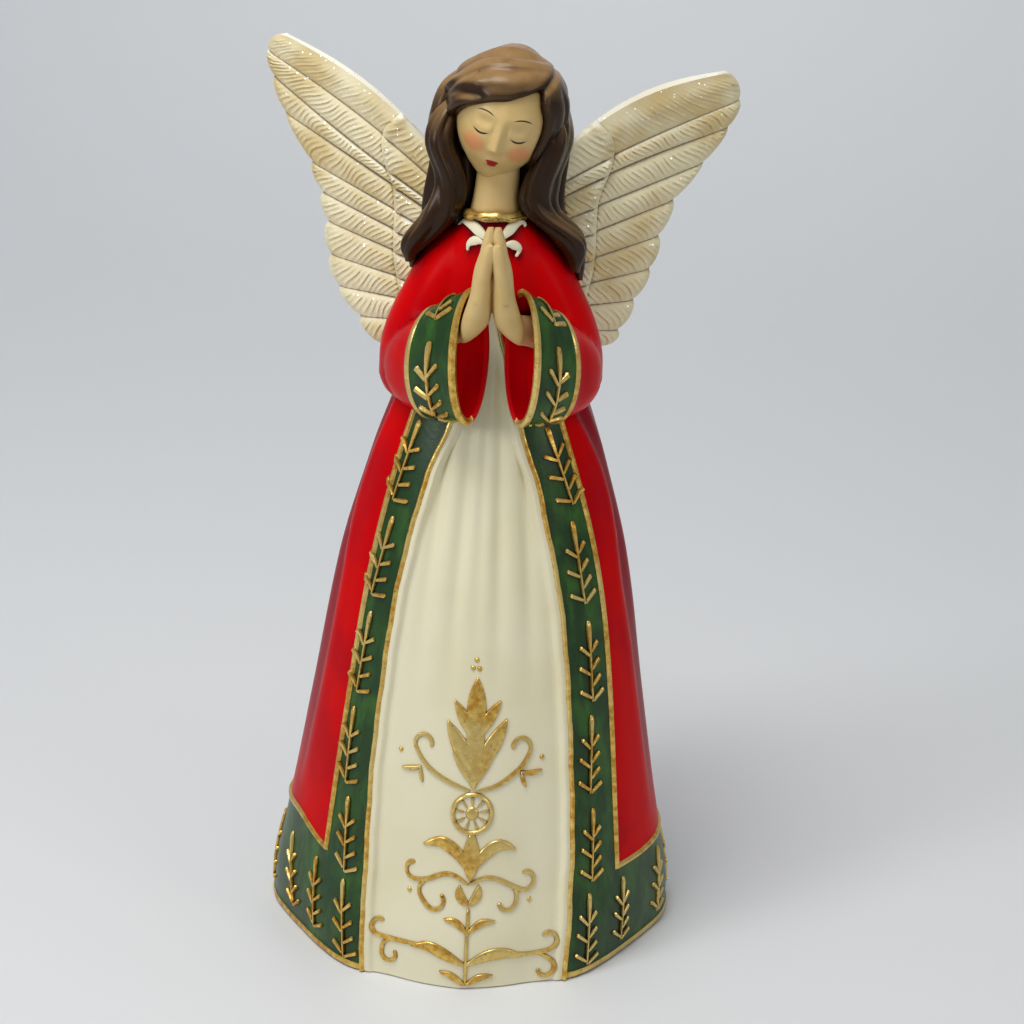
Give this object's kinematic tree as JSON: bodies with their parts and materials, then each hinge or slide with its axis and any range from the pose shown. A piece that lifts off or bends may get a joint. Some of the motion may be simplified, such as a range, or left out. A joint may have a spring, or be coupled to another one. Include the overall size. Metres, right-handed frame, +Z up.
{
  "type": "praying angel figurine",
  "caption": "Standing praying angel figurine with open feathered wings, long hair, a bordered coat over a long gown and bell sleeves, cast in resin, resting on its flat hem.",
  "frame": {"origin": "middle of the flat underside, on the surface the figurine stands on", "axes": "+Z up through the figure, -Y the way the face and hands look, +X towards the figure's left hand, which is the viewer's right"},
  "size_m": [0.1578, 0.1222, 0.3],
  "materials": {
    "painted_resin": "satin acrylic paint on cast resin: crimson coat, green borders with gilt sprigs, cream gown and wings with ochre wash, brown hair"
  },
  "bodies": {
    "root": {"angel_figure": "painted_resin"}
  },
  "joints": []
}
